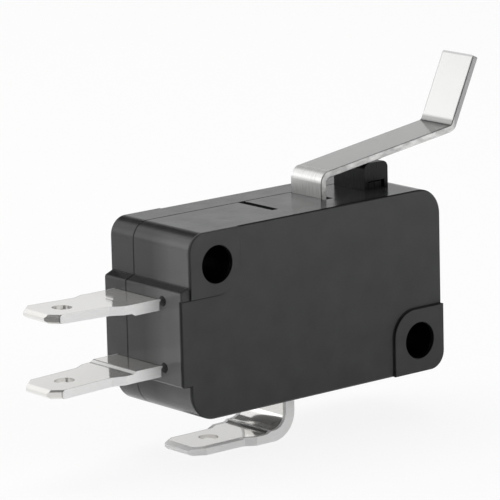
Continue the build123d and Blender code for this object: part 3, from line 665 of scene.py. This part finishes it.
class FinishTerminals(Operator):
    """Tabs: bright plating with duller clouds and fine marks along the punched strip, and painted shade lines
    inside the sheared edges and before the steps
    """
    bl_idname = "switch.finish_terminals"
    bl_label = "Finish terminals"

    def execute(self, context):
        look = context.scene.switch_terminal
        finish = PlatedStrip("terminal_plate", look.roughness, metallic=1.0 - look.dullness)
        clouds = finish.grain(look.cloud_size, detail=4.0, rough=0.6)
        marks = finish.grain(look.mark_width, stretch=(18.0, 1.0, 1.0))
        both = finish.joined(clouds, marks, share=0.65)
        sheared, line = finish.edges()
        plain = finish.uneven(both, look.roughness, less=0.03, more=0.05, reach=0.15)
        finish.use(Roughness=finish.plus(plain, finish.times(sheared, look.sheared - look.roughness)))
        plated = finish.tinted(both, look.colour, darker=0.93, paler=1.04)
        torn = finish.tinted(marks, look.sheared_colour, darker=0.92, paler=1.05)
        # Painted shade: dark lines inside the sheared edges, the cut corners, the tip bevel and before the
        # steps
        with_painted_lines = finish.blend(finish.times(line, look.painted_line_shade), plated, PAINTED_SHADE_BLACK)
        finish.use(Base_Color=finish.blend(sheared, with_painted_lines, torn))
        finish.use(Metallic=finish.ramp(sheared, 0.0, 1.0, low=1.0 - look.dullness, high=0.1))
        soft = finish.relief(clouds, look.cloud_depth)
        finish.use(Normal=finish.relief(marks, look.mark_depth, below=soft))
        finish.dress("nc_terminal", "no_terminal", "common_terminal")
        return {"FINISHED"}


class FinishInside(Operator):
    """Mechanism inside: silver rivets, a punched brass arm, a steel inner lever and a wire spring"""
    bl_idname = "switch.finish_inside"
    bl_label = "Finish inside"

    def execute(self, context):
        look = context.scene.switch_inner
        metals = (
            ("contact_silver", look.silver, 0.16, ("nc_contact", "no_contact", "moving_contact")),
            ("strip_brass", look.brass, 0.3, ("contact_arm",)),
            ("inner_steel", look.steel, 0.28, ("trip_lever", "snap_spring")),
        )
        for name, colour, roughness, nodes in metals:
            finish = Finish(name, roughness, metallic=1.0)
            clouds = finish.grain(look.cloud_size, detail=3.0)
            finish.use(Roughness=finish.uneven(clouds, roughness, less=0.05, more=0.07))
            finish.use(Base_Color=finish.tinted(clouds, colour, darker=0.9, paler=1.06))
            finish.use(Normal=finish.relief(finish.grain(look.grain_size), look.grain_depth))
            finish.dress(*nodes)
        return {"FINISHED"}


def grid_mesh(name, points):
    """Object over a grid of points, where each four neighbours are the corners of one face."""
    rows, columns = points.shape[:2]
    index = np.arange(rows * columns).reshape(rows, columns)
    corners = (index[:-1, :-1], index[:-1, 1:], index[1:, 1:], index[1:, :-1])
    faces = np.stack(corners, axis=-1).reshape(-1, 4)
    mesh = bpy.data.meshes.new(name)
    mesh.from_pydata(points.reshape(-1, 3).tolist(), [], faces.tolist())
    mesh.polygons.foreach_set("use_smooth", [True] * len(faces))
    mesh.update()
    made = bpy.data.objects.new(name, mesh)
    bpy.context.scene.collection.objects.link(made)
    return made


def bowl_points(height, radius, bend, wall, steps=16, turns=96):
    """Grid of a round floor that turns up into a low wall.

    The profile is a straight run, a quarter circle and a rise, and it is turned about the upright axis.
    """
    turn = np.linspace(0.0, math.pi / 2, steps)
    run = np.concatenate(([0.0], radius - bend + bend * np.sin(turn), [radius]))
    rise = np.concatenate(([0.0], bend - bend * np.cos(turn), [bend + wall]))
    angle = np.linspace(0.0, 2.0 * math.pi, turns + 1)
    points = np.zeros((len(run), len(angle), 3))
    points[:, :, 0] = run[:, None] * np.cos(angle)
    points[:, :, 1] = run[:, None] * np.sin(angle)
    points[:, :, 2] = height + rise[:, None]
    return points


def mirrored_strength(made, look):
    """How bright the backdrop is in reflections.

    It is white behind the object and a little dimmer upwards, and dark before the table and above the card.
    """
    ahead = Vector((look.camera_aim[0], look.camera_aim[1])).normalized()
    depth = made.plus(made.times(made.axis("X"), ahead.x), made.times(made.axis("Y"), ahead.y))
    up = made.axis("Z")
    table = look.table_front
    near = made.ramp(depth, table, table + TABLE_FADE, look.room_gloss, 1.0, SMOOTH)
    high = made.ramp(up, look.card_top * CARD_FADE, look.card_top, 1.0, look.room_gloss, SMOOTH)
    card = made.ramp(up, box_low.z + DIM_START, box_low.z + DIM_END, 1.0, look.card_level, SMOOTH)
    return made.times(near, high, card)


def dress_backdrop(material, look):
    """Plain pale surface that the camera sees as white, with part of the shadow kept."""
    material.use_nodes = True
    made = Nodes(material.node_tree)
    path = made.node("ShaderNodeLightPath")
    matte = made.node("ShaderNodeBsdfDiffuse")
    made.feed(matte.inputs["Color"], (*look.floor_colour, 1.0))
    glow = made.node("ShaderNodeEmission")
    strength = made.most(mirrored_strength(made, look), path.outputs["Is Camera Ray"])
    made.feed(glow.inputs["Strength"], strength)
    shadowless = made.times(path.outputs["Is Camera Ray"], 1.0 - look.shadow_share)
    share = made.most(shadowless, path.outputs["Is Glossy Ray"], path.outputs["Is Transmission Ray"])
    mix = made.node("ShaderNodeMixShader")
    made.feed(mix.inputs[0], share)
    made.feed(mix.inputs[1], matte.outputs["BSDF"])
    made.feed(mix.inputs[2], glow.outputs["Emission"])
    output = made.node("ShaderNodeOutputMaterial")
    made.feed(output.inputs["Surface"], mix.outputs["Shader"])


def room_world(look):
    """World that lights evenly from all round, is white to the camera and dim in reflections."""
    world = bpy.data.worlds.new("studio")
    bpy.context.scene.world = world
    world.use_nodes = True
    made = Nodes(world.node_tree)
    path = made.node("ShaderNodeLightPath")
    sky = made.node("ShaderNodeBackground")
    dimmer = made.times(path.outputs["Is Glossy Ray"], look.room_gloss - look.room_light)
    level = made.plus(dimmer, look.room_light)
    made.feed(sky.inputs["Strength"], made.most(level, path.outputs["Is Camera Ray"]))
    output = made.node("ShaderNodeOutputWorld")
    made.feed(output.inputs["Surface"], sky.outputs["Background"])


def soft_lamp(name, offset, width, height, power, mirrored=True):
    """Flat lamp that faces the middle of the object from the offset given. It may stay out of reflections."""
    middle = (box_low + box_high) / 2
    place = middle + Vector(offset)
    data = bpy.data.lights.new(name, "AREA")
    data.shape = "RECTANGLE"
    data.size = width
    data.size_y = height
    data.energy = power
    lamp = bpy.data.objects.new(name, data)
    lamp.location = place
    lamp.rotation_mode = "QUATERNION"
    lamp.rotation_quaternion = (middle - place).to_track_quat("-Z", "Y")
    lamp.visible_glossy = mirrored
    bpy.context.scene.collection.objects.link(lamp)


def place_camera(look):
    """Camera with the place, aim, roll and lens of the look."""
    data = bpy.data.cameras.new("camera")
    data.sensor_fit = "HORIZONTAL"
    data.sensor_width = 36.0
    data.lens = look.camera_lens
    data.clip_start = 0.01
    data.clip_end = 10.0
    camera = bpy.data.objects.new("camera", data)
    camera.location = look.camera_place
    camera.rotation_mode = "QUATERNION"
    turn = Vector(look.camera_aim).to_track_quat("-Z", "Y")
    camera.rotation_quaternion = turn @ Quaternion((0.0, 0.0, 1.0), look.camera_roll)
    bpy.context.scene.collection.objects.link(camera)
    bpy.context.scene.camera = camera


class BuildStage(Operator):
    """Plain pale floor that turns up behind, even room light, three soft lamps and the camera"""
    bl_idname = "switch.build_stage"
    bl_label = "Build stage"

    def execute(self, context):
        look = context.scene.switch_stage
        floor = grid_mesh("floor", bowl_points(box_low.z, radius=0.9, bend=0.25, wall=0.3))
        backdrop = bpy.data.materials.new("backdrop")
        dress_backdrop(backdrop, look)
        floor.data.materials.append(backdrop)
        room_world(look)
        soft_lamp("top_lamp", (0.02, 0.12, 0.42), width=0.3, height=0.3, power=look.top_lamp)
        soft_lamp("left_lamp", (-0.27, 0.36, 0.24), width=0.5, height=0.46, power=look.left_lamp)
        soft_lamp(
            "right_lamp", (0.22, -0.36, 0.2), width=0.26, height=0.26, power=look.right_lamp, mirrored=False)
        place_camera(look)
        context.scene.view_settings.view_transform = "Standard"
        return {"FINISHED"}


STEPS = (
    (FinishHousing, "switch_housing", HousingLook),
    (FinishPlunger, "switch_plunger", PlungerLook),
    (FinishLever, "switch_lever", LeverLook),
    (FinishTerminals, "switch_terminal", TerminalLook),
    (FinishInside, "switch_inner", InnerLook),
    (BuildStage, "switch_stage", StageLook),
)


class SwitchPanel(Panel):
    """Lists the finishes and the stage with their sizes and colours"""
    bl_idname = "VIEW3D_PT_position_switch"
    bl_label = "Position switch"
    bl_space_type = "VIEW_3D"
    bl_region_type = "UI"
    bl_category = "Position switch"

    def draw(self, context):
        for operator, name, group in STEPS:
            box = self.layout.box()
            box.operator(operator.bl_idname)
            for key in group.__annotations__:
                box.prop(getattr(context.scene, name), key)


def register():
    """Registers every look and operator, and the panel."""
    for operator, name, group in STEPS:
        bpy.utils.register_class(group)
        setattr(bpy.types.Scene, name, PointerProperty(type=group))
        bpy.utils.register_class(operator)
    bpy.utils.register_class(SwitchPanel)


def unregister():
    """Takes the panel and every operator and look away again."""
    bpy.utils.unregister_class(SwitchPanel)
    for operator, name, group in reversed(STEPS):
        bpy.utils.unregister_class(operator)
        delattr(bpy.types.Scene, name)
        bpy.utils.unregister_class(group)


def main():
    register()
    bpy.ops.switch.finish_housing()
    bpy.ops.switch.finish_plunger()
    bpy.ops.switch.finish_lever()
    bpy.ops.switch.finish_terminals()
    bpy.ops.switch.finish_inside()
    bpy.ops.switch.build_stage()


if __name__ == "__main__":
    main()
